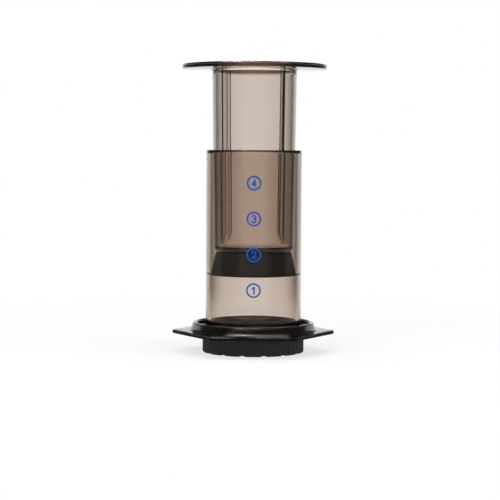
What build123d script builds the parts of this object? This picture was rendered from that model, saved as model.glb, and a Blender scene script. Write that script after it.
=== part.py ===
"""Hand-pressed air coffee maker, in millimetres, with +Z up along the press axis.

The origin is under the centre of the filter cap, where the maker stands on a table. Two corners of
the six-sided flange lie on the X axis, and the volume marks face -Y.
"""

import os

from build123d import *

# Fits between neighbouring pieces
cut_overrun = 1.0
print_gap = 0.02
seat_gap = 0.1
lug_lift = 0.2
turn_gap = 0.3
wipe_gap = 0.05
cap_side_gap = 0.55
slide_gap = 0.45

# Filter cap: a shallow cup that twists onto the foot of the chamber
cap_radius = 33.8
cap_wall = 1.5
cap_height = 11.1
cap_skirt_height = 3.0
cap_skirt_wall = 2.6
cap_floor_thickness = 2.5
cap_edge_bevel = 0.4
cap_lug_height = 2.0
cap_top_band = 1.7
flute_count = 45
flute_radius = 1.4
flute_depth = 0.3
notch_count = 15
notch_first_angle = -78.0
notch_radius = 4.2
notch_height = 0.65
filter_hole_radius = 0.75
filter_hole_pitch = 4.5
filter_hole_rings = 6
filter_holes_per_ring = 6

# Paper filter
paper_thickness = 0.25

# Chamber: the outer tube with its raised rim, six-sided flange and bayonet foot
chamber_wall = 3.2
chamber_length = 128.55
mouth_round = 0.5
mouth_land = 0.1
seat_boss_height = 0.5
seat_boss_margin = 0.6
cap_head_gap = 0.3
flange_across_flats = 94.6
flange_thickness = 2.5
flange_corner_round = 4.0
flange_edge_round = 0.8
rim_wall = 2.7
rim_flare = 1.8
rim_rise = 5.4
rim_round = 1.1
rim_fillet = 2.4
trough_width = 5.75
trough_rise = 1.2
trough_round = 1.5

# Bayonet: lugs round the chamber's foot carry the lugs inside the cap
lug_count = 4
lug_first_angle = 45.0
lug_reach = 1.5
chamber_lug_span = 40.0
cap_lug_span = 36.0
stop_span = 3.0
stop_play = 1.0

# Plunger: a hollow tapered tube, open at the top, with a press flange and a head for the seal
plunger_lift = 45.75
plunger_turn = -2.6
plunger_wall = 2.2
plunger_taper = 1.5
plunger_tube_length = 121.6
plunger_floor = 3.6
plunger_foot_round = 3.8
plunger_mouth_round = 1.0
plunger_corner_round = 1.5
press_flange_radius = 48.0
press_flange_thickness = 3.2
press_flange_round = 1.2
press_flange_fillet = 1.6
rib_pairs = 2
rib_pair_angle = 90.0
rib_spread = 98.4
rib_width = 1.4
rib_depth = 2.5
rib_taper = 7.0
rib_foot_gap = 3.0
rib_top_gap = 1.5

# Seal head under the plunger, with the neck that the seal snaps over
neck_length = 3.0
head_reach = 2.5
head_length = 6.0
head_round = 1.5
head_wall = 2.4

# Seal: a rubber cup that wipes the bore
seal_height = 14.7
seal_wall = 3.8
seal_shoulder_bevel = 0.5
seal_cone_taper = 2.8
seal_lip_reach = 0.4
seal_lip_height = 1.4
seal_lip_slope = 0.6
seal_lip_bevel = 0.4

# Volume marks: a printed ring round a numeral, at even steps up the front of the chamber
mark_first_height = 43.3
mark_step = 23.25
mark_ring_radius = 4.8
mark_ring_line = 1.05
mark_ink = 0.08
numeral_height = 4.2
numeral_width = 2.4
numeral_line = 0.95

# Strokes of each numeral from its centre, as shares of its width and height. Two points are a
# straight stroke and three are an arc.
numeral_shares = {
    1: [
        [(-0.35, 0.25), (0.15, 0.5)],
        [(0.15, 0.5), (0.15, -0.5)],
    ],
    2: [
        [(-0.5, 0.2), (0.0, 0.5), (0.5, 0.2)],
        [(0.5, 0.2), (0.3, -0.08), (-0.5, -0.5)],
        [(-0.5, -0.5), (0.5, -0.5)],
    ],
    3: [
        [(-0.5, 0.36), (0.45, 0.25), (-0.1, 0.02)],
        [(-0.1, 0.02), (0.5, -0.24), (-0.5, -0.36)],
    ],
    4: [
        [(0.2, 0.5), (-0.5, -0.2)],
        [(-0.5, -0.2), (0.5, -0.2)],
        [(0.2, 0.5), (0.2, -0.5)],
    ],
}

# Heights and radii that follow from the sizes above
skirt_inner_radius = cap_radius - cap_skirt_wall
cap_inner_radius = cap_radius - cap_wall
cap_floor_top = cap_skirt_height + cap_floor_thickness
paper_top = cap_floor_top + paper_thickness
chamber_radius = cap_inner_radius - cap_side_gap
chamber_foot = paper_top + seat_gap
chamber_top = chamber_foot + chamber_length
bore_radius = chamber_radius - chamber_wall
mouth_lead_round = chamber_wall - mouth_round - mouth_land
foot_radius = chamber_radius - lug_reach
foot_wall = foot_radius - bore_radius
cap_lug_radius = foot_radius + turn_gap
cap_lug_foot = cap_height - cap_lug_height
chamber_lug_top = cap_lug_foot - lug_lift
boss_foot = cap_height + cap_head_gap
boss_radius = cap_radius + seat_boss_margin
flange_foot = boss_foot + seat_boss_height
flange_top = flange_foot + flange_thickness
rim_top = flange_top + rim_rise
rim_inner_radius = chamber_radius + trough_width
rim_top_radius = rim_inner_radius + rim_wall
rim_foot_radius = rim_top_radius + rim_flare
trough_floor = flange_top + trough_rise
seal_foot = paper_top + plunger_lift
seal_top = seal_foot + seal_height
press_flange_foot = seal_top + plunger_tube_length
press_flange_top = press_flange_foot + press_flange_thickness
plunger_top_radius = bore_radius - slide_gap
plunger_foot_radius = plunger_top_radius - plunger_taper
plunger_mouth_radius = plunger_top_radius - plunger_wall
plunger_well_radius = plunger_foot_radius - plunger_wall
plunger_floor_top = seal_top + plunger_floor
seal_lip_radius = bore_radius - wipe_gap
seal_cone_radius = seal_lip_radius - seal_lip_reach
seal_shoulder_radius = seal_cone_radius - seal_cone_taper
head_radius = seal_shoulder_radius - seal_wall
neck_radius = head_radius - head_reach
head_top = seal_top - neck_length
head_foot = head_top - head_length
head_core_radius = neck_radius - head_wall


def ring_sector(inner_radius, outer_radius, span):
    """A slice of a flat ring, span degrees wide, centred on +X."""
    with BuildSketch(mode=Mode.PRIVATE) as sector:
        with BuildLine():
            outer = CenterArc((0, 0), outer_radius, -span / 2, span)
            inner = CenterArc((0, 0), inner_radius, -span / 2, span)
            Line(outer @ 0, inner @ 0)
            Line(outer @ 1, inner @ 1)
        make_face()
    return sector.sketch


def round_corner(sketch, corner, radius):
    """Round the sketch's corner that lies nearest to the point given."""
    fillet(sketch.vertices().sort_by_distance(corner)[0], radius)


# Filter cap: turned cup, then the lugs, grip flutes, drip notches and filter holes
cap_lug = ring_sector(cap_lug_radius, cap_radius - cap_wall / 2, cap_lug_span)
notch_planes = []
for notch in range(notch_count):
    notch_angle = notch_first_angle + notch * 360 / notch_count
    notch_planes.append(Plane.YZ.rotated((0, 0, notch_angle)).offset(skirt_inner_radius - cut_overrun))

with BuildPart() as filter_cap:
    with BuildSketch(Plane.XZ):
        with BuildLine():
            Polyline(
                (0, cap_skirt_height),
                (skirt_inner_radius, cap_skirt_height),
                (skirt_inner_radius, 0),
                (cap_radius - cap_edge_bevel, 0),
                (cap_radius, cap_edge_bevel),
                (cap_radius, cap_height - cap_edge_bevel),
                (cap_radius - cap_edge_bevel, cap_height),
                (cap_inner_radius, cap_height),
                (cap_inner_radius, cap_floor_top),
                (0, cap_floor_top),
                close=True,
            )
        make_face()
    revolve(axis=Axis.Z)
    with BuildSketch(Plane.XY.offset(cap_lug_foot)):
        with PolarLocations(0, lug_count, start_angle=lug_first_angle):
            add(cap_lug)
    extrude(amount=cap_lug_height)
    with BuildSketch():
        with PolarLocations(cap_radius + flute_radius - flute_depth, flute_count):
            Circle(flute_radius)
    extrude(amount=cap_height - cap_top_band, mode=Mode.SUBTRACT)
    with BuildSketch(*notch_planes):
        with Locations((0, notch_height - notch_radius)):
            Circle(notch_radius)
    extrude(amount=cap_skirt_wall + 2 * cut_overrun, mode=Mode.SUBTRACT)
    with BuildSketch(Plane.XY.offset(cap_skirt_height)):
        Circle(filter_hole_radius)
        for ring in range(1, filter_hole_rings + 1):
            with PolarLocations(ring * filter_hole_pitch, ring * filter_holes_per_ring):
                Circle(filter_hole_radius)
    extrude(amount=cap_floor_thickness, mode=Mode.SUBTRACT)
filter_cap.part.label = "filter_cap"

# Paper filter: a disc clamped between the cap's floor and the lugs of the chamber
with BuildPart() as paper_filter:
    with BuildSketch(Plane.XY.offset(cap_floor_top)):
        Circle(chamber_radius)
    extrude(amount=paper_thickness)
paper_filter.part.label = "paper_filter"

# Six-sided plate with rounded corners and edges, which becomes the chamber's flange
with BuildPart() as flange_plate:
    with BuildSketch(Plane.XY.offset(flange_foot)):
        RegularPolygon(flange_across_flats / 2, 6, major_radius=False)
    extrude(amount=flange_thickness)
    fillet(flange_plate.edges().filter_by(Axis.Z), flange_corner_round)
    fillet(flange_plate.faces().filter_by(Axis.Z).edges(), flange_edge_round)
    with BuildSketch(Plane.XY.offset(flange_foot)):
        Circle(rim_inner_radius)
    extrude(amount=flange_thickness, mode=Mode.SUBTRACT)

# Chamber: turned tube, foot and rim, joined to the flange, with the lugs and their stops
chamber_lug = ring_sector(foot_radius - foot_wall / 2, chamber_radius, chamber_lug_span)
lug_stop = ring_sector(foot_radius - foot_wall / 2, chamber_radius, stop_span)
stop_angle = lug_first_angle + (cap_lug_span + stop_span) / 2 + stop_play

with BuildPart() as chamber:
    with BuildSketch(Plane.XZ) as chamber_profile:
        with BuildLine():
            Polyline(
                (bore_radius, chamber_foot),
                (foot_radius, chamber_foot),
                (foot_radius, boss_foot),
                (boss_radius, boss_foot),
                (boss_radius, flange_foot),
                (rim_foot_radius + rim_fillet, flange_foot),
                (rim_foot_radius + rim_fillet, flange_top),
                (rim_foot_radius, flange_top),
                (rim_top_radius, rim_top),
                (rim_inner_radius, rim_top),
                (rim_inner_radius, trough_floor),
                (chamber_radius, trough_floor),
                (chamber_radius, chamber_top),
                (bore_radius, chamber_top),
                close=True,
            )
        make_face()
        round_corner(chamber_profile, (rim_foot_radius, flange_top), rim_fillet)
        round_corner(chamber_profile, (rim_top_radius, rim_top), rim_round)
        round_corner(chamber_profile, (rim_inner_radius, rim_top), rim_round)
        round_corner(chamber_profile, (rim_inner_radius, trough_floor), trough_round)
        round_corner(chamber_profile, (chamber_radius, trough_floor), trough_round)
        round_corner(chamber_profile, (chamber_radius, chamber_top), mouth_round)
        round_corner(chamber_profile, (bore_radius, chamber_top), mouth_lead_round)
    revolve(axis=Axis.Z)
    add(flange_plate.part)
    with BuildSketch(Plane.XY.offset(chamber_foot)):
        with PolarLocations(0, lug_count, start_angle=lug_first_angle):
            add(chamber_lug)
    extrude(amount=chamber_lug_top - chamber_foot)
    with BuildSketch(Plane.XY.offset(chamber_lug_top)):
        with PolarLocations(0, lug_count, start_angle=stop_angle):
            add(lug_stop)
    extrude(amount=boss_foot - chamber_lug_top)
chamber.part.label = "chamber"

# Plunger: turned shell with a closed floor over its hollow head, and tapered ribs down the inside
rib_foot = plunger_floor_top + rib_foot_gap
rib_top = press_flange_top - rib_top_gap
rib_planes = []
for pair in range(rib_pairs):
    pair_angle = rib_pair_angle + plunger_turn + pair * 360 / rib_pairs
    for rib_angle in (pair_angle - rib_spread / 2, pair_angle + rib_spread / 2):
        rib_planes.append(Plane.XZ.rotated((0, 0, rib_angle)))

with BuildPart() as plunger:
    with BuildSketch(Plane.XZ) as plunger_profile:
        with BuildLine():
            Polyline(
                (0, seal_top),
                (head_core_radius, seal_top),
                (head_core_radius, head_foot),
                (head_radius, head_foot),
                (head_radius, head_top),
                (neck_radius, head_top),
                (neck_radius, seal_top),
                (plunger_foot_radius, seal_top),
                (plunger_top_radius, press_flange_foot),
                (press_flange_radius, press_flange_foot),
                (press_flange_radius, press_flange_top),
                (plunger_mouth_radius, press_flange_top),
                (plunger_well_radius, plunger_floor_top),
                (0, plunger_floor_top),
                close=True,
            )
        make_face()
        round_corner(plunger_profile, (head_radius, head_foot), head_round)
        round_corner(plunger_profile, (head_radius, head_top), head_round)
        round_corner(plunger_profile, (plunger_foot_radius, seal_top), plunger_foot_round)
        round_corner(plunger_profile, (plunger_top_radius, press_flange_foot), press_flange_fillet)
        round_corner(plunger_profile, (press_flange_radius, press_flange_foot), press_flange_round)
        round_corner(plunger_profile, (press_flange_radius, press_flange_top), press_flange_round)
        round_corner(plunger_profile, (plunger_mouth_radius, press_flange_top), plunger_mouth_round)
        round_corner(plunger_profile, (plunger_well_radius, plunger_floor_top), plunger_corner_round)
    revolve(axis=Axis.Z)
    with BuildSketch(*rib_planes):
        with BuildLine():
            Polyline(
                (plunger_well_radius + plunger_wall / 2, rib_foot),
                (plunger_well_radius - rib_depth, rib_foot + rib_taper),
                (plunger_mouth_radius - rib_depth, rib_top),
                (plunger_mouth_radius + plunger_wall / 2, rib_top),
                close=True,
            )
        make_face()
    extrude(amount=rib_width / 2, both=True)
plunger.part.label = "plunger"

# Seal: turned rubber cup, closed below, with a pocket that fits the plunger's head
pocket_foot = head_foot - turn_gap

with BuildPart() as plunger_seal:
    with BuildSketch(Plane.XZ):
        with BuildLine():
            Polyline(
                (0, seal_foot),
                (seal_lip_radius - seal_lip_bevel, seal_foot),
                (seal_lip_radius, seal_foot + seal_lip_bevel),
                (seal_lip_radius, seal_foot + seal_lip_height),
                (seal_cone_radius, seal_foot + seal_lip_height + seal_lip_slope),
                (seal_shoulder_radius, seal_top - seal_shoulder_bevel),
                (seal_shoulder_radius - seal_shoulder_bevel, seal_top),
                (neck_radius + turn_gap, seal_top),
                (neck_radius + turn_gap, head_top + turn_gap),
                (head_radius + turn_gap, head_top + turn_gap),
                (head_radius + turn_gap, pocket_foot),
                (0, pocket_foot),
                close=True,
            )
        make_face()
    revolve(axis=Axis.Z)
plunger_seal.part.label = "plunger_seal"

# Volume marks: each ring and numeral is a thin skin of ink that follows the chamber's wall
volume_marks = []
for number, strokes in numeral_shares.items():
    mark_height = mark_first_height + (number - 1) * mark_step
    with BuildPart() as volume_mark:
        with BuildSketch(Plane((0, 0, mark_height), x_dir=(1, 0, 0), z_dir=(0, -1, 0))):
            Circle(mark_ring_radius)
            Circle(mark_ring_radius - mark_ring_line, mode=Mode.SUBTRACT)
            with BuildLine(mode=Mode.PRIVATE) as numeral:
                for shares in strokes:
                    points = [(x * numeral_width, y * numeral_height) for x, y in shares]
                    if len(points) == 2:
                        Line(*points)
                    else:
                        ThreePointArc(*points)
            for stroke in numeral.edges():
                SlotArc(stroke, numeral_line)
        extrude(amount=chamber_radius + cut_overrun)
        with BuildSketch(Plane.XY.offset(mark_height - mark_ring_radius - cut_overrun)):
            Circle(chamber_radius + print_gap + mark_ink)
            Circle(chamber_radius + print_gap, mode=Mode.SUBTRACT)
        extrude(amount=2 * (mark_ring_radius + cut_overrun), mode=Mode.INTERSECT)
    volume_mark.part.label = f"volume_mark_{number}"
    volume_marks.append(volume_mark.part)

# One file for each piece
os.makedirs("parts", exist_ok=True)
pieces = [chamber.part, plunger.part, plunger_seal.part, filter_cap.part, paper_filter.part]
for piece in pieces + volume_marks:
    export_step(piece, f"parts/{piece.label}.step")
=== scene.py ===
import bpy
import numpy as np
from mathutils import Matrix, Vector


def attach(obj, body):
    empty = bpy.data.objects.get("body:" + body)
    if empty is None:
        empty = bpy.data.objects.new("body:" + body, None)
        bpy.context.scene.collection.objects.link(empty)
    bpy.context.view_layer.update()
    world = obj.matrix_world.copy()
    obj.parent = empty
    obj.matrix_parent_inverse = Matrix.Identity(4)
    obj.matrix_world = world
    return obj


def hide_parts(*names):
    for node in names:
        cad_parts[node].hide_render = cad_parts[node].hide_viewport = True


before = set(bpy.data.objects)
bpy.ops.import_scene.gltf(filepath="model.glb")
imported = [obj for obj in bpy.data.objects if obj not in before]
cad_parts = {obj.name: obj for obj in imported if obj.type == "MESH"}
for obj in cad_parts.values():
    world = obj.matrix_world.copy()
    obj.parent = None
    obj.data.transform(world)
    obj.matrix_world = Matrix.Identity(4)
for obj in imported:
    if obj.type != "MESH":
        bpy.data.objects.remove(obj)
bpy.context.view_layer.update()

scene = bpy.context.scene

# Chamber tube: the outer tube with a rounded mouth and a bayonet foot, injection moulded in smoke-tinted
# clear polycarbonate. Its two walls look pale brown, and its edges, where light runs along them, darker.
# Sizes are in mm, turns in degrees, and heights are from the table.
CHAMBER_RADIUS = 31.75
CHAMBER_WALL = 3.2
CHAMBER_BORE = CHAMBER_RADIUS - CHAMBER_WALL
CHAMBER_FOOT = 5.85
CHAMBER_LENGTH = 128.55
CHAMBER_TOP = CHAMBER_FOOT + CHAMBER_LENGTH
MOUTH_OUTER_ROUND = 0.5
MOUTH_INNER_ROUND = 2.6
BOSS_FOOT = 11.4
LUG_TOP = 8.9
LUG_REACH = 1.5
FOOT_RADIUS = CHAMBER_RADIUS - LUG_REACH
LUG_FIRST_TURN = 45.0
LUG_SPACING = 90.0
LUG_HALF_TURN = 20.0
STOP_TURN = 20.5
STOP_HALF_TURN = 1.5
TUBE_STEP = 0.75
ARC_STEP = 9.0
CREASE_TURN = 32.0
CHAMBER_TINT = "#dacdc2"
CHAMBER_TINT_DEPTH = 6.4
CHAMBER_HAZE = 0.04
PLASTIC_POLISH = 0.01
PLASTIC_CLEAR = "#fdfbf9"
PLASTIC_IOR = 1.585
HAZE_PATCHES = 16.0
HAZE_SPREAD = (0.35, 0.75)
SHRINKAGE_WAVES = 30.0
SHRINKAGE_DEPTH = 1.0
SHRINKAGE_STRENGTH = 0.03
DENSITY_MARGIN_SHARE = 1.02


def rounded_profile(corners, closed):
    """Outline through corners of (radius, height, rounding) in millimetres. A corner with a rounding
    becomes the arc that touches both its sides, centred on their bisector at rounding / sin(half
    the angle), in steps of about ARC_STEP degrees. A corner with none stays sharp."""
    points = np.array([corner[:2] for corner in corners], float)
    before = np.roll(points, 1, axis=0)
    after = np.roll(points, -1, axis=0)
    pieces = []
    for index, (_, _, rounding) in enumerate(corners):
        point = points[index]
        if rounding == 0 or (not closed and index in (0, len(corners) - 1)):
            pieces.append(point[None])
            continue
        to_before = (before[index] - point) / np.linalg.norm(before[index] - point)
        to_after = (after[index] - point) / np.linalg.norm(after[index] - point)
        half = np.arccos(np.clip(to_before @ to_after, -1, 1)) / 2
        bisector = (to_before + to_after) / np.linalg.norm(to_before + to_after)
        centre = point + bisector * rounding / np.sin(half)
        start = point + to_before * rounding / np.tan(half) - centre
        end = point + to_after * rounding / np.tan(half) - centre
        first = np.arctan2(start[1], start[0])
        sweep = np.arctan2(start[0] * end[1] - start[1] * end[0], start @ end)
        turn = first + sweep * np.linspace(0, 1, 3 + int(abs(sweep) / np.radians(ARC_STEP)))
        pieces.append(centre + rounding * np.stack([np.cos(turn), np.sin(turn)], axis=1))
    return np.concatenate(pieces)


def polar_surface(name, radius, height, angles, closed):
    """Mesh of a polar grid in millimetres: row i, column j lies at (radius cos angle, radius sin angle,
    height), where angles has one value for each column or each point. Columns wrap round, rows wrap
    when closed, and an open grid ends in two poles on the axis. Edges that turn more than CREASE_TURN
    shade as edges."""
    rows, columns = radius.shape
    grid = np.stack([radius * np.cos(angles), radius * np.sin(angles), height], axis=2) / 1000
    index = np.arange(rows * columns).reshape(rows, columns)
    right = np.roll(index, -1, axis=1)
    if closed:
        above, above_right = np.roll(index, -1, axis=0), np.roll(right, -1, axis=0)
        faces = np.stack([index, right, above_right, above], axis=2).reshape(-1, 4).tolist()
        points = grid.reshape(-1, 3)
    else:
        body = slice(1, rows - 1)
        inner, inner_right = index[body] - columns + 1, right[body] - columns + 1
        points = np.concatenate([grid[0, :1], grid[body].reshape(-1, 3), grid[-1, :1]])
        last = len(points) - 1
        quads = np.stack([inner[:-1], inner_right[:-1], inner_right[1:], inner[1:]], axis=2)
        low = np.stack([np.zeros(columns, int), inner_right[0], inner[0]], axis=1)
        high = np.stack([inner[-1], inner_right[-1], np.full(columns, last)], axis=1)
        faces = quads.reshape(-1, 4).tolist() + low.tolist() + high.tolist()
    mesh = bpy.data.meshes.new(name)
    mesh.from_pydata(points.tolist(), [], faces)
    mesh.polygons.foreach_set("use_smooth", np.ones(len(faces), bool))
    mesh.set_sharp_from_angle(angle=np.radians(CREASE_TURN))
    piece = bpy.data.objects.new(name, mesh)
    scene.collection.objects.link(piece)
    return piece


def linear(hex_colour):
    """sRGB hex colour as linear red, green, blue and an alpha of 1."""
    value = np.array([int(hex_colour[i : i + 2], 16) for i in (1, 3, 5)]) / 255
    return (*np.where(value <= 0.04045, value / 12.92, ((value + 0.055) / 1.055) ** 2.4), 1.0)


def add(tree, kind, sockets=None, **settings):
    """Add a node to the tree: settings are its own properties, and sockets gives each input, by name
    or number, a value or the output that it is linked to."""
    node = tree.nodes.new(kind)
    for name, value in settings.items():
        setattr(node, name, value)
    for name, value in (sockets or {}).items():
        if isinstance(value, bpy.types.NodeSocket):
            tree.links.new(value, node.inputs[name])
        else:
            node.inputs[name].default_value = value
    return node


def new_material(name):
    """An empty node material with its tree, its output node and its Object coordinates, in metres."""
    material = bpy.data.materials.new(name)
    material.use_nodes = True
    material.node_tree.nodes.clear()
    output = add(material.node_tree, "ShaderNodeOutputMaterial")
    coordinates = add(material.node_tree, "ShaderNodeTexCoord").outputs["Object"]
    return material, material.node_tree, output, coordinates


def waves(millimetres):
    """Scale of a noise texture on metres whose waves are about that many millimetres long."""
    return 1000 / millimetres


def smoke_polycarbonate(name, tint, depth, roughest):
    """Clear polycarbonate from a polished mould: a smooth gloss with a little haze from use, and
    long, shallow waves where the wall has shrunk. The tint lies in the depth of the plastic: white
    light turns to tint on its way through depth mm, so -log(tint) / depth of each colour is lost."""
    material, tree, output, coordinates = new_material(name)
    haze = add(tree, "ShaderNodeTexNoise", {
        "Vector": coordinates, "Scale": waves(HAZE_PATCHES), "Detail": 4.0})
    roughness = add(tree, "ShaderNodeMapRange", {
        "Value": haze.outputs["Fac"], "From Min": HAZE_SPREAD[0], "From Max": HAZE_SPREAD[1],
        "To Min": PLASTIC_POLISH, "To Max": roughest})
    shrinkage = add(tree, "ShaderNodeTexNoise", {
        "Vector": coordinates, "Scale": waves(SHRINKAGE_WAVES), "Detail": 1.0})
    bump = add(tree, "ShaderNodeBump", {
        "Height": shrinkage.outputs["Fac"], "Strength": SHRINKAGE_STRENGTH,
        "Distance": SHRINKAGE_DEPTH / 1000})
    clear = add(tree, "ShaderNodeBsdfPrincipled", {
        "Base Color": linear(PLASTIC_CLEAR), "Transmission Weight": 1.0, "IOR": PLASTIC_IOR,
        "Roughness": roughness.outputs["Result"], "Normal": bump.outputs["Normal"]})
    loss = -np.log(np.array(linear(tint)[:3])) / (depth / 1000)
    density = DENSITY_MARGIN_SHARE * loss.max()
    smoke = add(tree, "ShaderNodeVolumeAbsorption", {
        "Color": (*(1 - loss / density), 1.0), "Density": density})
    tree.links.new(clear.outputs["BSDF"], output.inputs["Surface"])
    tree.links.new(smoke.outputs["Volume"], output.inputs["Volume"])
    return material


tube_outline = rounded_profile(
    [
        (CHAMBER_BORE, CHAMBER_FOOT, 0),
        (FOOT_RADIUS, CHAMBER_FOOT, 0),
        (FOOT_RADIUS, LUG_TOP, 0),
        (FOOT_RADIUS, LUG_TOP, 0),
        (FOOT_RADIUS, BOSS_FOOT, 0),
        (CHAMBER_RADIUS, BOSS_FOOT, 0),
        (CHAMBER_RADIUS, CHAMBER_TOP, MOUTH_OUTER_ROUND),
        (CHAMBER_BORE, CHAMBER_TOP, MOUTH_INNER_ROUND),
    ],
    closed=True,
)
tube_angles = np.radians(np.arange(0, 360, TUBE_STEP) + TUBE_STEP / 2)
tube_radius = np.tile(tube_outline[:, :1], (1, len(tube_angles)))
tube_height = np.tile(tube_outline[:, 1:], (1, len(tube_angles)))
lug_rows = slice(1, 3)
stop_rows = slice(3, 5)
off_lug = np.degrees(tube_angles) % LUG_SPACING - LUG_FIRST_TURN
tube_radius[lug_rows] += LUG_REACH * (np.abs(off_lug) < LUG_HALF_TURN)
tube_radius[stop_rows] += LUG_REACH * (np.abs(off_lug - STOP_TURN) < STOP_HALF_TURN)
chamber_tube = polar_surface("chamber_tube", tube_radius, tube_height, tube_angles, closed=True)

# Smoke polycarbonate, moulded: the eye sees through it, with brown shade where it looks along a wall.
chamber_plastic = smoke_polycarbonate(
    "smoke_polycarbonate_moulded", CHAMBER_TINT, CHAMBER_TINT_DEPTH, CHAMBER_HAZE)
chamber_tube.data.materials.append(chamber_plastic)
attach(chamber_tube, "chamber")
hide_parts("chamber")

# Chamber collar: the foot of the same moulding, a six-sided flange that carries it in use, with a round
# rim and a trough inside it. Light crosses so much plastic here that the eye sees it as glossy black,
# so it has a mesh of its own, and a smoke far deeper than the chamber's plastic, which is painted shade:
# it darkens the flange beyond its own tint and stands in for that shade.
BOSS_RADIUS = 34.4
BOSS_HEIGHT = 0.5
FLANGE_ACROSS_FLATS = 94.6
FLANGE_APOTHEM = FLANGE_ACROSS_FLATS / 2
FLANGE_FOOT = BOSS_FOOT + BOSS_HEIGHT
FLANGE_THICKNESS = 2.5
FLANGE_TOP = FLANGE_FOOT + FLANGE_THICKNESS
FLANGE_CORNER = 4.0
FLANGE_EDGE = 0.8
TROUGH_WIDTH = 5.75
TROUGH_RISE = 1.2
TROUGH_FLOOR = FLANGE_TOP + TROUGH_RISE
TROUGH_ROUND = 1.5
SEAM_HEIGHT = 1.6
SEAM_TOP = TROUGH_FLOOR + SEAM_HEIGHT
RIM_WALL = 2.7
RIM_FLARE = 1.8
RIM_RISE = 5.4
RIM_INNER_RADIUS = CHAMBER_RADIUS + TROUGH_WIDTH
RIM_TOP_RADIUS = RIM_INNER_RADIUS + RIM_WALL
RIM_FOOT_RADIUS = RIM_TOP_RADIUS + RIM_FLARE
RIM_TOP = FLANGE_TOP + RIM_RISE
RIM_FILLET = 2.4
RIM_ROUND = 1.1
SEAM_OVERLAP = 0.01
COLLAR_SEAM_RADIUS = CHAMBER_RADIUS - SEAM_OVERLAP
EDGE_TOLERANCE = 0.01
COLLAR_STEP = 0.75
# Painted shade: this tint over so short a depth makes the collar's smoke far deeper than the chamber's.
COLLAR_PAINTED_SHADE_TINT = "#e0d6d0"
COLLAR_PAINTED_SHADE_DEPTH = 0.4
COLLAR_HAZE = 0.03


def hexagon_radius(apothem, corner, angles):
    """Distance from the axis to a hexagon with rounded corners, two of them on the X axis: its flat
    is apothem / cos(angle from the flat's middle), and near a corner the ray meets the circle of
    radius corner that touches both flats."""
    off_corner = (angles + np.pi / 6) % (np.pi / 3) - np.pi / 6
    middle = (apothem - corner) / np.cos(np.pi / 6)
    reach = np.sqrt(np.clip(corner**2 - (middle * np.sin(off_corner)) ** 2, 0, None))
    touch = np.arctan2(corner / 2, middle + corner * np.cos(np.pi / 6))
    flat = apothem / np.cos(np.pi / 6 - np.abs(off_corner))
    return np.where(np.abs(off_corner) < touch, middle * np.cos(off_corner) + reach, flat)


collar_outline = rounded_profile(
    [
        (COLLAR_SEAM_RADIUS, BOSS_FOOT, 0),
        (BOSS_RADIUS, BOSS_FOOT, 0),
        (BOSS_RADIUS, FLANGE_FOOT, 0),
        (FLANGE_APOTHEM, FLANGE_FOOT, FLANGE_EDGE),
        (FLANGE_APOTHEM, FLANGE_TOP, FLANGE_EDGE),
        (RIM_FOOT_RADIUS, FLANGE_TOP, RIM_FILLET),
        (RIM_TOP_RADIUS, RIM_TOP, RIM_ROUND),
        (RIM_INNER_RADIUS, RIM_TOP, RIM_ROUND),
        (RIM_INNER_RADIUS, TROUGH_FLOOR, TROUGH_ROUND),
        (COLLAR_SEAM_RADIUS, TROUGH_FLOOR, TROUGH_ROUND),
        (COLLAR_SEAM_RADIUS, SEAM_TOP, 0),
    ],
    closed=True,
)
collar_angles = np.radians(np.arange(0, 360, COLLAR_STEP) + COLLAR_STEP / 2)
collar_radius = np.tile(collar_outline[:, :1], (1, len(collar_angles)))
collar_height = np.tile(collar_outline[:, 1:], (1, len(collar_angles)))
edge_rows = collar_outline[:, 0] > FLANGE_APOTHEM - FLANGE_EDGE - EDGE_TOLERANCE
inset = FLANGE_APOTHEM - collar_outline[edge_rows, :1]
collar_radius[edge_rows] = hexagon_radius(FLANGE_APOTHEM - inset, FLANGE_CORNER - inset, collar_angles)
collar = polar_surface("chamber_collar", collar_radius, collar_height, collar_angles, closed=True)

# Smoke polycarbonate with painted shade: its smoke is far deeper than the moulding's own, so it renders
# black and glossy, with streaks of light along the rounded edges.
collar_plastic_painted_shade = smoke_polycarbonate(
    "smoke_polycarbonate_painted_shade", COLLAR_PAINTED_SHADE_TINT, COLLAR_PAINTED_SHADE_DEPTH, COLLAR_HAZE)
collar.data.materials.append(collar_plastic_painted_shade)
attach(collar, "chamber")
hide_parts("chamber")

# Volume marks: four circled numbers, 1 at the bottom, on the front of the tube. They are pad printed
# in blue ink, a film of 0.08 mm that lies on the plastic, and keep the shapes of the CAD nodes.
INK_DARK = "#0b4fa6"
INK_PALE = "#125dba"
INK_PATCHES = 0.8
INK_ROUGHNESS = (0.35, 0.55)
INK_SHINE = 0.1
MARK_COUNT = 4

# Blue pad-printing ink: a flat, dense blue, a little thinner in patches where the pad lifted.
ink, tree, output, coordinates = new_material("blue_pad_printing_ink")
patches = add(tree, "ShaderNodeTexNoise", {
    "Vector": coordinates, "Scale": waves(INK_PATCHES), "Detail": 2.0})
blue = add(tree, "ShaderNodeMix", {
    "Factor": patches.outputs["Fac"], "A": linear(INK_DARK), "B": linear(INK_PALE)}, data_type="RGBA")
sheen = add(tree, "ShaderNodeMapRange", {
    "Value": patches.outputs["Fac"], "To Min": INK_ROUGHNESS[0], "To Max": INK_ROUGHNESS[1]})
film = add(tree, "ShaderNodeBsdfPrincipled", {
    "Base Color": blue.outputs["Result"], "Roughness": sheen.outputs["Result"],
    "Specular IOR Level": INK_SHINE})
tree.links.new(film.outputs["BSDF"], output.inputs["Surface"])
for number in range(1, MARK_COUNT + 1):
    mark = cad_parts[f"volume_mark_{number}"]
    mark.data.materials.clear()
    mark.data.materials.append(ink)

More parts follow.
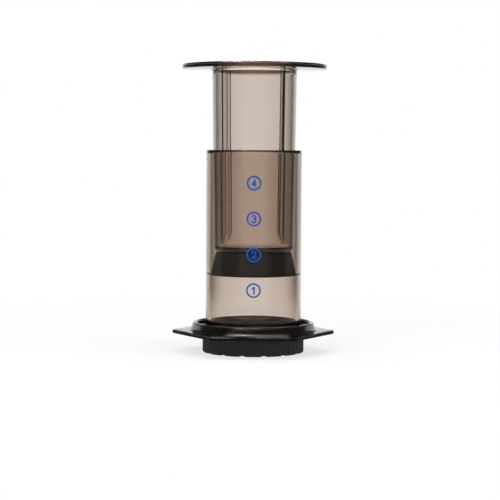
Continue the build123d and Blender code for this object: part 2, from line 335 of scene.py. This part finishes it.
# Plunger: a hollow tapered tube, open at the top, with a round press flange, four ribs down the inside,
# and a hollow head below its floor that holds the seal. It is one moulding in a slightly paler smoke
# polycarbonate. Its ribs show as thin dark lines and its floor, seen along, as a dark band.
PLUNGER_FOOT = 66.2
PLUNGER_LENGTH = 121.6
PLUNGER_WALL = 2.2
PLUNGER_FLOOR = 3.6
PLUNGER_TAPER = 1.5
PLUNGER_FOOT_ROUND = 3.8
SLIDE_GAP = 0.45
PLUNGER_TOP_RADIUS = CHAMBER_BORE - SLIDE_GAP
PLUNGER_FOOT_RADIUS = PLUNGER_TOP_RADIUS - PLUNGER_TAPER
PRESS_FLANGE_RADIUS = 48.0
PRESS_FLANGE_THICKNESS = 3.2
PRESS_FLANGE_FOOT = PLUNGER_FOOT + PLUNGER_LENGTH
PRESS_FLANGE_TOP = PRESS_FLANGE_FOOT + PRESS_FLANGE_THICKNESS
PRESS_FLANGE_FILLET = 1.6
PRESS_FLANGE_ROUND = 1.2
WELL_FLOOR = PLUNGER_FOOT + PLUNGER_FLOOR
WELL_RADIUS = PLUNGER_FOOT_RADIUS - PLUNGER_WALL
WELL_ROUND = 1.5
WELL_MOUTH_RADIUS = PLUNGER_TOP_RADIUS - PLUNGER_WALL
WELL_MOUTH_ROUND = 1.0
NECK_LENGTH = 3.0
HEAD_LENGTH = 6.0
HEAD_REACH = 2.5
HEAD_WALL = 2.4
HEAD_ROUND = 1.5
HEAD_RADIUS = 21.5
NECK_RADIUS = HEAD_RADIUS - HEAD_REACH
HEAD_CORE_RADIUS = NECK_RADIUS - HEAD_WALL
HEAD_TOP = PLUNGER_FOOT - NECK_LENGTH
HEAD_FOOT = HEAD_TOP - HEAD_LENGTH
RIB_DEPTH = 2.5
RIB_WIDTH = 1.4
RIB_TAPER = 7.0
RIB_FOOT_GAP = 3.0
RIB_TOP_GAP = 1.5
RIB_FOOT = WELL_FLOOR + RIB_FOOT_GAP
RIB_TOP = PRESS_FLANGE_TOP - RIB_TOP_GAP
RIB_PAIR_TURNS = np.array([87.4, 267.4])
RIB_SPREAD = 98.4
RIB_TURNS = np.add.outer(RIB_PAIR_TURNS, [-RIB_SPREAD / 2, RIB_SPREAD / 2]).ravel()
RIB_ACROSS_SHARES = np.array([-1.005, -0.995, -0.5, 0, 0.5, 0.995, 1.005])
RIB_CLEAR_TURN = 3.0
COLUMNS_BETWEEN_RIBS = 112
PLUNGER_TINT = "#dfd3cb"
PLUNGER_TINT_DEPTH = 4.4
PLUNGER_HAZE = 0.04

plunger_outline = rounded_profile(
    [
        (0, PLUNGER_FOOT, 0),
        (HEAD_CORE_RADIUS, PLUNGER_FOOT, 0),
        (HEAD_CORE_RADIUS, HEAD_FOOT, 0),
        (HEAD_RADIUS, HEAD_FOOT, HEAD_ROUND),
        (HEAD_RADIUS, HEAD_TOP, HEAD_ROUND),
        (NECK_RADIUS, HEAD_TOP, 0),
        (NECK_RADIUS, PLUNGER_FOOT, 0),
        (PLUNGER_FOOT_RADIUS, PLUNGER_FOOT, PLUNGER_FOOT_ROUND),
        (PLUNGER_TOP_RADIUS, PRESS_FLANGE_FOOT, PRESS_FLANGE_FILLET),
        (PRESS_FLANGE_RADIUS, PRESS_FLANGE_FOOT, PRESS_FLANGE_ROUND),
        (PRESS_FLANGE_RADIUS, PRESS_FLANGE_TOP, PRESS_FLANGE_ROUND),
        (WELL_MOUTH_RADIUS, PRESS_FLANGE_TOP, WELL_MOUTH_ROUND),
        (WELL_RADIUS, WELL_FLOOR, WELL_ROUND),
        (0, WELL_FLOOR, 0),
    ],
    closed=False,
)
well_slope = (WELL_MOUTH_RADIUS - WELL_RADIUS) / (PRESS_FLANGE_TOP - WELL_FLOOR)
rib_heights = np.array([RIB_TOP, RIB_TOP, RIB_FOOT + RIB_TAPER, RIB_FOOT])
rib_rows = np.stack([WELL_RADIUS + well_slope * (rib_heights - WELL_FLOOR), rib_heights], axis=1)
mouth_row = np.flatnonzero(plunger_outline[:, 1] > RIB_TOP)[-1] + 1
plunger_outline = np.concatenate([plunger_outline[:mouth_row], rib_rows, plunger_outline[mouth_row:]])
rib_depth = np.zeros((len(plunger_outline), 1))
rib_depth[mouth_row + 1 : mouth_row + 3] = RIB_DEPTH
across_rib = RIB_WIDTH / 2 * RIB_ACROSS_SHARES
next_rib = np.roll(RIB_TURNS, -1) + [0, 0, 0, 360]
to_next_rib = np.linspace(
    RIB_TURNS + RIB_CLEAR_TURN, next_rib - RIB_CLEAR_TURN, COLUMNS_BETWEEN_RIBS, axis=1)
at_rib = np.tile(RIB_TURNS[:, None], (1, len(across_rib)))
plunger_turns = np.concatenate([at_rib, to_next_rib], axis=1).ravel()
aside = np.concatenate([np.tile(across_rib, (len(RIB_TURNS), 1)), 0 * to_next_rib], axis=1).ravel()
in_rib = np.isin(plunger_turns, RIB_TURNS) & (np.abs(aside) < RIB_WIDTH / 2)
plunger_radius = plunger_outline[:, :1] - rib_depth * in_rib
off_axis = np.maximum(plunger_radius, HEAD_CORE_RADIUS)
plunger_angles = np.radians(plunger_turns) + np.arctan2(aside, off_axis)
plunger_height = np.tile(plunger_outline[:, 1:], (1, len(plunger_turns)))
plunger = polar_surface("plunger_tube", plunger_radius, plunger_height, plunger_angles, closed=False)

# Paler smoke polycarbonate, moulded: as clear as the chamber, and brown again where both overlap.
plunger_plastic = smoke_polycarbonate(
    "paler_smoke_polycarbonate_moulded", PLUNGER_TINT, PLUNGER_TINT_DEPTH, PLUNGER_HAZE)
plunger.data.materials.append(plunger_plastic)
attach(plunger, "plunger")
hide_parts("plunger")

# Plunger seal: a thick rubber cup that snaps over the plunger's head, with a cone that swells down to
# a lip. The lip is pressed against the bore, so no air shows between rubber and plastic there. It is
# moulded in black thermoplastic rubber.
SEAL_HEIGHT = 14.7
SEAL_FOOT = PLUNGER_FOOT - SEAL_HEIGHT
SEAL_FOOT_RADIUS = 28.1
SEAT_PRESS = 0.05
SEAL_TOP = PLUNGER_FOOT + SEAT_PRESS
SEAL_TOP_RADIUS = 24.8
LIP_PRESS = 0.03
LIP_RADIUS = CHAMBER_BORE + LIP_PRESS
LIP_LOW = 51.9
LIP_HIGH = 52.7
LIP_ROUND = 0.2
CONE_FOOT = 53.5
CONE_TOP = 65.7
CONE_TOP_RADIUS = 25.3
CONE_ROUND = 0.4
POCKET_GAP = 0.3
POCKET_NECK_RADIUS = NECK_RADIUS + POCKET_GAP
POCKET_RADIUS = HEAD_RADIUS + POCKET_GAP
POCKET_TOP = HEAD_TOP + POCKET_GAP
POCKET_FOOT = HEAD_FOOT - POCKET_GAP
RUBBER_DARK = "#1b1b1a"
RUBBER_PALE = "#242422"
RUBBER_GRAIN = 1.1
RUBBER_GRAIN_DEPTH = 0.2
RUBBER_GRAIN_STRENGTH = 0.15
RUBBER_BLOOM = 9.0
RUBBER_ROUGHNESS = (0.5, 0.75)
SEAL_STEP = 1.5

seal_outline = rounded_profile(
    [
        (0, SEAL_FOOT, 0),
        (SEAL_FOOT_RADIUS, SEAL_FOOT, 0),
        (LIP_RADIUS, LIP_LOW, 0),
        (LIP_RADIUS, LIP_HIGH, LIP_ROUND),
        (SEAL_FOOT_RADIUS, CONE_FOOT, CONE_ROUND),
        (CONE_TOP_RADIUS, CONE_TOP, CONE_ROUND),
        (SEAL_TOP_RADIUS, SEAL_TOP, LIP_ROUND),
        (POCKET_NECK_RADIUS, SEAL_TOP, 0),
        (POCKET_NECK_RADIUS, POCKET_TOP, 0),
        (POCKET_RADIUS, POCKET_TOP, 0),
        (POCKET_RADIUS, POCKET_FOOT, 0),
        (0, POCKET_FOOT, 0),
    ],
    closed=False,
)
seal_angles = np.radians(np.arange(0, 360, SEAL_STEP))
seal_radius = np.tile(seal_outline[:, :1], (1, len(seal_angles)))
seal_height = np.tile(seal_outline[:, 1:], (1, len(seal_angles)))
seal = polar_surface("seal_cup", seal_radius, seal_height, seal_angles, closed=False)

# Black rubber, moulded: a soft matt skin with a fine grain and a little paler bloom in patches. The
# grain is really about 0.2 mm and is drawn coarser, so that it still shows in a picture.
rubber, tree, output, coordinates = new_material("black_rubber_moulded")
grain = add(tree, "ShaderNodeTexNoise", {
    "Vector": coordinates, "Scale": waves(RUBBER_GRAIN), "Detail": 3.0})
bump = add(tree, "ShaderNodeBump", {
    "Height": grain.outputs["Fac"], "Strength": RUBBER_GRAIN_STRENGTH,
    "Distance": RUBBER_GRAIN_DEPTH / 1000})
bloom = add(tree, "ShaderNodeTexNoise", {
    "Vector": coordinates, "Scale": waves(RUBBER_BLOOM), "Detail": 3.0})
skin = add(tree, "ShaderNodeMix", {
    "Factor": bloom.outputs["Fac"], "A": linear(RUBBER_DARK), "B": linear(RUBBER_PALE)}, data_type="RGBA")
dull = add(tree, "ShaderNodeMapRange", {
    "Value": bloom.outputs["Fac"], "To Min": RUBBER_ROUGHNESS[0], "To Max": RUBBER_ROUGHNESS[1]})
matt = add(tree, "ShaderNodeBsdfPrincipled", {
    "Base Color": skin.outputs["Result"], "Roughness": dull.outputs["Result"],
    "Normal": bump.outputs["Normal"]})
tree.links.new(matt.outputs["BSDF"], output.inputs["Surface"])
seal.data.materials.append(rubber)
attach(seal, "seal")
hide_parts("plunger_seal")

# Paper filter: a round sheet of 0.25 mm that lies on the floor of the cap, under the chamber's foot.
# It is pressed from bleached pulp and cut out, and keeps the shape of the CAD node.
PAPER_SHADE = "#d8d3ca"
PAPER_WHITE = "#f0ede6"
PAPER_STRANDS = 1.6
PAPER_STRAND_DEPTH = 0.1
PAPER_STRAND_STRENGTH = 0.3
PAPER_ROUGHNESS = 0.9

# Filter paper, pressed: matt off-white with cloudy fibres, as long strands in a slightly rough sheet.
paper, tree, output, coordinates = new_material("filter_paper_pressed")
strands = add(tree, "ShaderNodeTexNoise", {
    "Vector": coordinates, "Scale": waves(PAPER_STRANDS), "Detail": 6.0, "Distortion": 3.0})
pulp = add(tree, "ShaderNodeMix", {
    "Factor": strands.outputs["Fac"], "A": linear(PAPER_SHADE), "B": linear(PAPER_WHITE)}, data_type="RGBA")
bump = add(tree, "ShaderNodeBump", {
    "Height": strands.outputs["Fac"], "Strength": PAPER_STRAND_STRENGTH,
    "Distance": PAPER_STRAND_DEPTH / 1000})
sheet = add(tree, "ShaderNodeBsdfPrincipled", {
    "Base Color": pulp.outputs["Result"], "Roughness": PAPER_ROUGHNESS,
    "Normal": bump.outputs["Normal"]})
tree.links.new(sheet.outputs["BSDF"], output.inputs["Surface"])
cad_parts["paper_filter"].data.materials.clear()
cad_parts["paper_filter"].data.materials.append(paper)

# Filter cap: a shallow cup with a pierced floor, grip flutes and drip notches, which locks under the
# chamber with a twist. It is moulded in black polypropylene and keeps the shape of the CAD node.
CAP_DARK = "#2b2a2a"
CAP_PALE = "#363535"
CAP_GRAIN = 0.7
CAP_GRAIN_DEPTH = 0.2
CAP_GRAIN_STRENGTH = 0.2
CAP_WEAR = 12.0
CAP_ROUGHNESS = (0.4, 0.6)

# Black polypropylene, moulded: charcoal with a spark-eroded grain, which makes its gloss soft. The grain
# is really about 0.1 mm and is drawn coarser, so that it still shows in a picture.
cap_plastic, tree, output, coordinates = new_material("black_polypropylene_moulded")
grain = add(tree, "ShaderNodeTexNoise", {
    "Vector": coordinates, "Scale": waves(CAP_GRAIN), "Detail": 3.0})
bump = add(tree, "ShaderNodeBump", {
    "Height": grain.outputs["Fac"], "Strength": CAP_GRAIN_STRENGTH,
    "Distance": CAP_GRAIN_DEPTH / 1000})
wear = add(tree, "ShaderNodeTexNoise", {
    "Vector": coordinates, "Scale": waves(CAP_WEAR), "Detail": 4.0})
charcoal = add(tree, "ShaderNodeMix", {
    "Factor": wear.outputs["Fac"], "A": linear(CAP_DARK), "B": linear(CAP_PALE)}, data_type="RGBA")
dull = add(tree, "ShaderNodeMapRange", {
    "Value": wear.outputs["Fac"], "To Min": CAP_ROUGHNESS[0], "To Max": CAP_ROUGHNESS[1]})
satin = add(tree, "ShaderNodeBsdfPrincipled", {
    "Base Color": charcoal.outputs["Result"], "Roughness": dull.outputs["Result"],
    "Normal": bump.outputs["Normal"]})
tree.links.new(satin.outputs["BSDF"], output.inputs["Surface"])
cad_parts["filter_cap"].data.materials.clear()
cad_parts["filter_cap"].data.materials.append(cap_plastic)

# Floor: a plain white disc just under the part, which keeps its soft shadow and fades away into the
# backdrop. Seen directly or through the plastic it is white, and in glossy surfaces a dim table.
FLOOR_DROP = 0.2
FLOOR_REACH = 450.0
FLOOR_RINGS = 40
FLOOR_STEP = 3.0
FADE_START = 100.0
FADE_END = 420.0
FLOOR_PAINT = "#f4f4f4"
FLOOR_WHITE_SHARE = 0.7
FLOOR_GLOSS = 0.12
ANY_BOUNCE = 0.5

floor_rings = np.linspace(0, FLOOR_REACH, FLOOR_RINGS)[:, None]
floor_angles = np.radians(np.arange(0, 360, FLOOR_STEP))
floor_grid = np.stack(np.broadcast_arrays(
    floor_rings * np.cos(floor_angles), floor_rings * np.sin(floor_angles), -FLOOR_DROP), axis=2) / 1000
spot = np.arange(floor_grid[:, :, 0].size).reshape(floor_grid.shape[:2])
turned = np.roll(spot, -1, axis=1)
floor_faces = np.stack([spot[:-1], spot[1:], turned[1:], turned[:-1]], axis=2).reshape(-1, 4)
floor_mesh = bpy.data.meshes.new("floor")
floor_mesh.from_pydata(floor_grid.reshape(-1, 3).tolist(), [], floor_faces.tolist())
floor = bpy.data.objects.new("floor", floor_mesh)
scene.collection.objects.link(floor)

floor_paint, tree, output, coordinates = new_material("pale_floor")
distance = add(tree, "ShaderNodeVectorMath", {0: coordinates}, operation="LENGTH")
fade = add(tree, "ShaderNodeMapRange", {
    "Value": distance.outputs["Value"], "From Min": FADE_START / 1000, "From Max": FADE_END / 1000},
    interpolation_type="SMOOTHSTEP")
pale = add(tree, "ShaderNodeBsdfDiffuse", {"Color": linear(FLOOR_PAINT)})
white = add(tree, "ShaderNodeEmission", {"Color": linear("#ffffff"), "Strength": 1.0})
dim = add(tree, "ShaderNodeEmission", {"Color": linear("#ffffff"), "Strength": FLOOR_GLOSS})
gone = add(tree, "ShaderNodeBsdfTransparent")
rays = add(tree, "ShaderNodeLightPath")
shiny = add(tree, "ShaderNodeMath", {
    0: rays.outputs["Is Glossy Ray"], 1: rays.outputs["Is Transmission Ray"]}, operation="MAXIMUM")
looked_at = add(tree, "ShaderNodeMath", {
    0: rays.outputs["Is Camera Ray"], 1: shiny.outputs[0]}, operation="MAXIMUM")
white_share = add(tree, "ShaderNodeMath", {
    0: looked_at.outputs[0], 1: FLOOR_WHITE_SHARE}, operation="MULTIPLY")
lifted = add(tree, "ShaderNodeMixShader", {
    0: white_share.outputs[0], 1: pale.outputs["BSDF"], 2: white.outputs["Emission"]})
outside = add(tree, "ShaderNodeMath", {
    0: rays.outputs["Transmission Depth"], 1: ANY_BOUNCE}, operation="LESS_THAN")
mirrored = add(tree, "ShaderNodeMath", {
    0: rays.outputs["Is Glossy Ray"], 1: outside.outputs[0]}, operation="MULTIPLY")
table = add(tree, "ShaderNodeMixShader", {
    0: mirrored.outputs[0], 1: lifted.outputs["Shader"], 2: dim.outputs["Emission"]})
faded = add(tree, "ShaderNodeMixShader", {
    0: fade.outputs["Result"], 1: table.outputs["Shader"], 2: gone.outputs["BSDF"]})
tree.links.new(faded.outputs["Shader"], output.inputs["Surface"])
floor_mesh.materials.append(floor_paint)

# Backdrop: plain white to the camera and an even pale light on matt surfaces. Clear plastic stands
# between white strips, with bright ends and dark sides for light that a wall or a rib mirrors. Glossy
# surfaces see a white wall above a dim table, and a white screen behind the part keeps its outline pale.
EVEN_LIGHT = 0.55
STRIP_DARK = 0.18
SIDE_DARK = 0.03
SIDE_BRIGHT = 1.0
SIDE_STRIP_SHARE = 0.28
FRONT_SHARE = 0.4
WALL_DARK = 0.12
WALL_BRIGHT = 1.0
SECOND_BOUNCE = 1.5
STRIP_COUNT = 4.0
WIDE_STRIP_POWER = 1.4
THIN_STRIP_POWER = 3.0
END_COUNT = 2.0

# Where each light starts and where it is full: waves round the part, or the height of a ray
WIDE_STRIP = (0.5, 1.0)
ENDS = (-0.15, 0.55)
FRONT_TO_BACK = (-0.5, 0.5)
SIDE_STRIP_BACK = (0.45, 0.35)
SIDE_STRIP_FRONT = (-0.06, 0.04)
SCREEN_EDGE = (0.76, 0.93)
WALL_FOOT = (0.055, 0.075)
WALL_TOP = (0.3, 0.2)

world = bpy.data.worlds.new("studio")
scene.world = world
world.use_nodes = True
tree = world.node_tree
tree.nodes.clear()
direction = add(tree, "ShaderNodeTexCoord").outputs["Generated"]
split = add(tree, "ShaderNodeSeparateXYZ", {0: direction})
azimuth = add(tree, "ShaderNodeMath", {
    0: split.outputs["X"], 1: split.outputs["Y"]}, operation="ARCTAN2")
strip_turns = add(tree, "ShaderNodeMath", {
    0: azimuth.outputs[0], 1: STRIP_COUNT}, operation="MULTIPLY")
strip_waves = add(tree, "ShaderNodeMath", {0: strip_turns.outputs[0]}, operation="COSINE")
square_on = add(tree, "ShaderNodeMapRange", {
    "Value": strip_waves.outputs[0], "From Min": -1.0, "From Max": 1.0})
slant = add(tree, "ShaderNodeMapRange", {
    "Value": strip_waves.outputs[0], "From Min": 1.0, "From Max": -1.0})
wide_rise = add(tree, "ShaderNodeMapRange", {
    "Value": square_on.outputs["Result"], "From Min": WIDE_STRIP[0], "From Max": WIDE_STRIP[1]})
wide_strip = add(tree, "ShaderNodeMath", {
    0: wide_rise.outputs["Result"], 1: WIDE_STRIP_POWER}, operation="POWER")
thin_strip = add(tree, "ShaderNodeMath", {
    0: slant.outputs["Result"], 1: THIN_STRIP_POWER}, operation="POWER")
either = add(tree, "ShaderNodeMath", {
    0: wide_strip.outputs[0], 1: thin_strip.outputs[0]}, operation="MAXIMUM")
strips = add(tree, "ShaderNodeMapRange", {"Value": either.outputs[0], "To Min": STRIP_DARK, "To Max": 1.0})
end_turns = add(tree, "ShaderNodeMath", {
    0: azimuth.outputs[0], 1: END_COUNT}, operation="MULTIPLY")
end_waves = add(tree, "ShaderNodeMath", {0: end_turns.outputs[0]}, operation="COSINE")
ends = add(tree, "ShaderNodeMapRange", {
    "Value": end_waves.outputs[0], "From Min": ENDS[0], "From Max": ENDS[1]},
    interpolation_type="SMOOTHSTEP")
depth = add(tree, "ShaderNodeMath", {0: azimuth.outputs[0]}, operation="COSINE")
front_fall = add(tree, "ShaderNodeMapRange", {
    "Value": depth.outputs[0], "From Min": FRONT_TO_BACK[0], "From Max": FRONT_TO_BACK[1],
    "To Min": FRONT_SHARE, "To Max": 1.0})
end_light = add(tree, "ShaderNodeMath", {
    0: ends.outputs["Result"], 1: front_fall.outputs["Result"]}, operation="MULTIPLY")
side_strip_back = add(tree, "ShaderNodeMapRange", {
    "Value": depth.outputs[0], "From Min": SIDE_STRIP_BACK[0], "From Max": SIDE_STRIP_BACK[1]},
    interpolation_type="SMOOTHSTEP")
side_strip_front = add(tree, "ShaderNodeMapRange", {
    "Value": depth.outputs[0], "From Min": SIDE_STRIP_FRONT[0], "From Max": SIDE_STRIP_FRONT[1]},
    interpolation_type="SMOOTHSTEP")
side_strip = add(tree, "ShaderNodeMath", {
    0: side_strip_back.outputs["Result"], 1: side_strip_front.outputs["Result"]}, operation="MULTIPLY")
weak_strip = add(tree, "ShaderNodeMath", {
    0: side_strip.outputs[0], 1: SIDE_STRIP_SHARE}, operation="MULTIPLY")
lit = add(tree, "ShaderNodeMath", {0: end_light.outputs[0], 1: weak_strip.outputs[0]}, operation="MAXIMUM")
sides = add(tree, "ShaderNodeMapRange", {
    "Value": lit.outputs[0], "To Min": SIDE_DARK, "To Max": SIDE_BRIGHT})
wall_foot = add(tree, "ShaderNodeMapRange", {
    "Value": split.outputs["Z"], "From Min": WALL_FOOT[0], "From Max": WALL_FOOT[1]},
    interpolation_type="SMOOTHSTEP")
wall_top = add(tree, "ShaderNodeMapRange", {
    "Value": split.outputs["Z"], "From Min": WALL_TOP[0], "From Max": WALL_TOP[1]},
    interpolation_type="SMOOTHSTEP")
screen = add(tree, "ShaderNodeMapRange", {
    "Value": depth.outputs[0], "From Min": SCREEN_EDGE[0], "From Max": SCREEN_EDGE[1]},
    interpolation_type="SMOOTHSTEP")
wall_or_screen = add(tree, "ShaderNodeMath", {
    0: wall_foot.outputs["Result"], 1: screen.outputs["Result"]}, operation="MAXIMUM")
wall = add(tree, "ShaderNodeMath", {
    0: wall_or_screen.outputs[0], 1: wall_top.outputs["Result"]}, operation="MULTIPLY")
room = add(tree, "ShaderNodeMapRange", {
    "Value": wall.outputs[0], "To Min": WALL_DARK, "To Max": WALL_BRIGHT})
rays = add(tree, "ShaderNodeLightPath")
entered = add(tree, "ShaderNodeMath", {
    0: rays.outputs["Transmission Depth"], 1: ANY_BOUNCE}, operation="GREATER_THAN")
led = add(tree, "ShaderNodeMath", {
    0: rays.outputs["Glossy Depth"], 1: ANY_BOUNCE}, operation="GREATER_THAN")
led_far = add(tree, "ShaderNodeMath", {
    0: rays.outputs["Glossy Depth"], 1: SECOND_BOUNCE}, operation="GREATER_THAN")
led_light = add(tree, "ShaderNodeMix", {
    "Factor": led_far.outputs[0], "A": sides.outputs["Result"], "B": SIDE_DARK})
through = add(tree, "ShaderNodeMix", {
    "Factor": led.outputs[0], "A": strips.outputs["Result"], "B": led_light.outputs[0]})
glossy = add(tree, "ShaderNodeMix", {
    "Factor": entered.outputs[0], "A": room.outputs["Result"], "B": through.outputs[0]})
shiny = add(tree, "ShaderNodeMath", {
    0: rays.outputs["Is Glossy Ray"], 1: rays.outputs["Is Transmission Ray"]}, operation="MAXIMUM")
seen = add(tree, "ShaderNodeMix", {"Factor": shiny.outputs[0], "A": EVEN_LIGHT, "B": glossy.outputs[0]})
shown = add(tree, "ShaderNodeMix", {
    "Factor": rays.outputs["Is Camera Ray"], "A": seen.outputs[0], "B": 1.0})
backdrop = add(tree, "ShaderNodeBackground", {"Color": linear("#ffffff"), "Strength": shown.outputs[0]})
add(tree, "ShaderNodeOutputWorld", {"Surface": backdrop.outputs["Background"]})
world.cycles.sampling_method = "NONE"

# Lamps: soft lamps at the front corners and overhead light the matt pieces, and two long, thin softboxes
# draw the streaks on rounded glossy edges. Places are in metres.
PART_MIDDLE = (0, 0, 0.08)
PART_FOOT = (0, 0, 0.02)


def soft_lamp(name, place, aim, sides, watts, glints):
    """An area lamp with those two sides in metres, at place, turned to face aim. A lamp with glints
    shows in glossy surfaces alone, and any other lights matt ones alone."""
    lamp = bpy.data.lights.new(name, "AREA")
    lamp.shape = "RECTANGLE"
    lamp.size, lamp.size_y = sides
    lamp.energy = watts
    lamp_object = bpy.data.objects.new(name, lamp)
    lamp_object.location = place
    lamp_object.rotation_euler = (Vector(aim) - Vector(place)).to_track_quat("-Z", "Y").to_euler()
    lamp_object.visible_glossy = glints
    lamp_object.visible_diffuse = not glints
    lamp_object.visible_transmission = False
    scene.collection.objects.link(lamp_object)


soft_lamp("key", (-0.55, -0.75, 0.75), PART_MIDDLE, sides=(0.6, 0.6), watts=3.5, glints=False)
soft_lamp("fill", (0.8, -0.5, 0.5), PART_MIDDLE, sides=(0.7, 0.7), watts=2.0, glints=False)
soft_lamp("top", (0, -0.1, 1.1), PART_FOOT, sides=(0.8, 0.5), watts=5.0, glints=False)
soft_lamp("softbox", (-0.3, -0.25, 0.95), PART_FOOT, sides=(0.5, 0.1), watts=12.0, glints=True)
soft_lamp("long_softbox", (0.15, -0.1, 1.0), PART_FOOT, sides=(1.2, 0.08), watts=6.0, glints=True)
scene.cycles.max_bounces = 32
scene.cycles.transmission_bounces = 32
scene.cycles.glossy_bounces = 12
scene.cycles.transparent_max_bounces = 24
scene.view_settings.view_transform = "Standard"

# Camera: level with the chamber's mouth, 1.1 m in front, tilted down a little, as in the photograph.
CAMERA_PLACE = (-0.0028, -1.100, 0.1345)
CAMERA_TILT = 3.47
CAMERA_ROLL = 0.35
SENSOR_WIDTH = 36.0
LENS = 118.8

camera_data = bpy.data.cameras.new("camera")
camera_data.sensor_width = SENSOR_WIDTH
camera_data.lens = LENS
camera_data.clip_start = 0.05
camera = bpy.data.objects.new("camera", camera_data)
camera.location = CAMERA_PLACE
camera.rotation_euler = (np.radians(90 - CAMERA_TILT), np.radians(-CAMERA_ROLL), 0)
scene.collection.objects.link(camera)
scene.camera = camera
